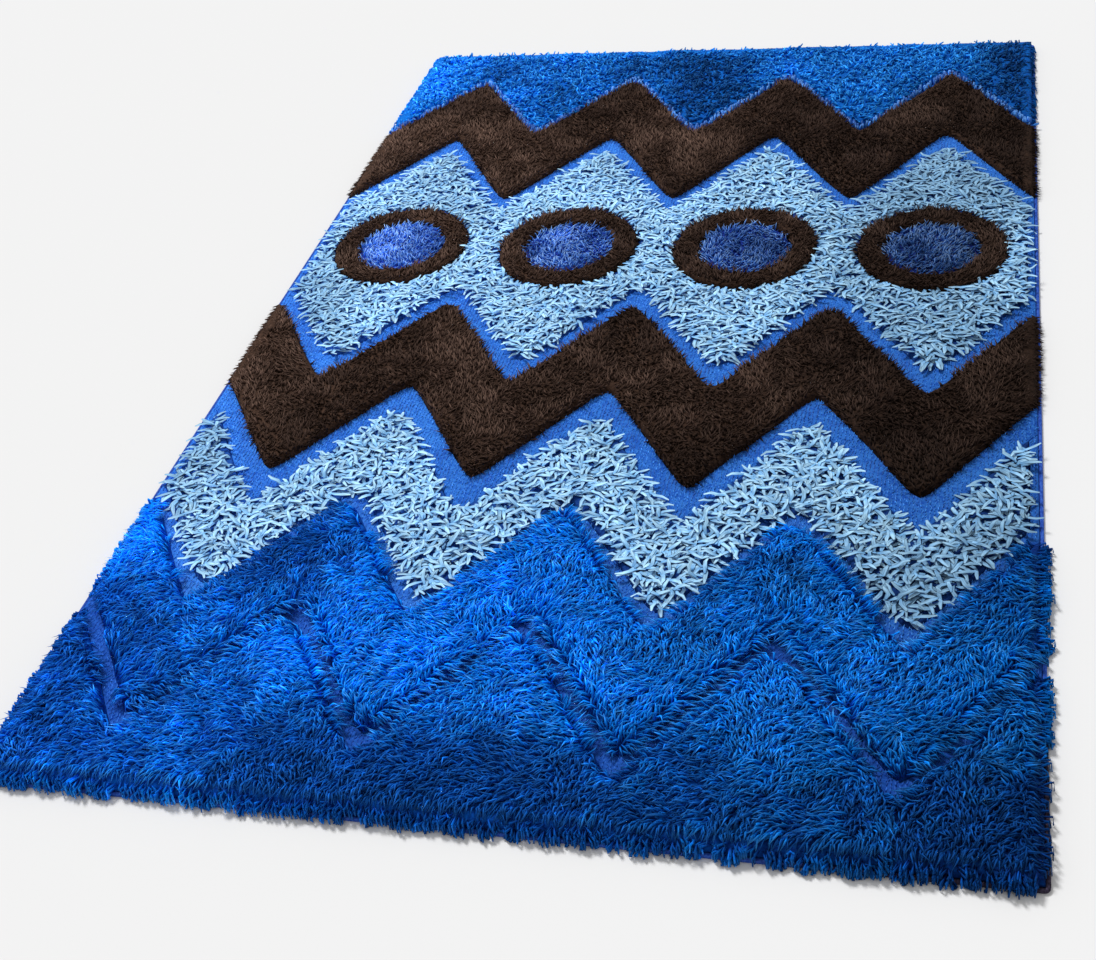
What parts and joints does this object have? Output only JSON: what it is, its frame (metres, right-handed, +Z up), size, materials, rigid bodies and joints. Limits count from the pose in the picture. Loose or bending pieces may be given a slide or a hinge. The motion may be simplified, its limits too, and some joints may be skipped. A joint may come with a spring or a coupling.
{
  "type": "shag rug",
  "caption": "Rectangular shag pile rug lying flat, with raised zigzag bands and ringed discs of pile parted by low channels over a thin backing cloth.",
  "frame": {"origin": "middle of the backing's flat underside, on the floor", "axes": "+Y along the rug's length towards the plain royal-blue end, +X across its width, +Z up"},
  "size_m": [1.4273, 2.3299, 0.0352],
  "materials": {
    "backing": "matt woven canvas with a turned edge",
    "low_pile": "short matt knit-like pile",
    "royal_pile": "dense curly pile, slight sheen",
    "brown_pile": "dense plush pile, matt",
    "light_pile": "thick loose flattened locks, soft sheen",
    "violet_pile": "fine upright strands, soft sheen",
    "shag_pile": "long fine combed strands, soft sheen"
  },
  "bodies": {
    "root": {"backing": "backing", "low_pile_1": "low_pile", "low_pile_2": "low_pile", "low_pile_3": "low_pile", "low_pile_4": "low_pile", "top_field": "royal_pile", "brown_band_1": "brown_pile", "light_field": "light_pile", "brown_band_2": "brown_pile", "light_band": "light_pile", "shag_band": "shag_pile", "shag_field": "shag_pile", "brown_ring_1": "brown_pile", "blue_centre_1": "violet_pile", "brown_ring_2": "brown_pile", "blue_centre_2": "violet_pile", "brown_ring_3": "brown_pile", "blue_centre_3": "violet_pile", "brown_ring_4": "brown_pile", "blue_centre_4": "violet_pile"}
  },
  "joints": []
}
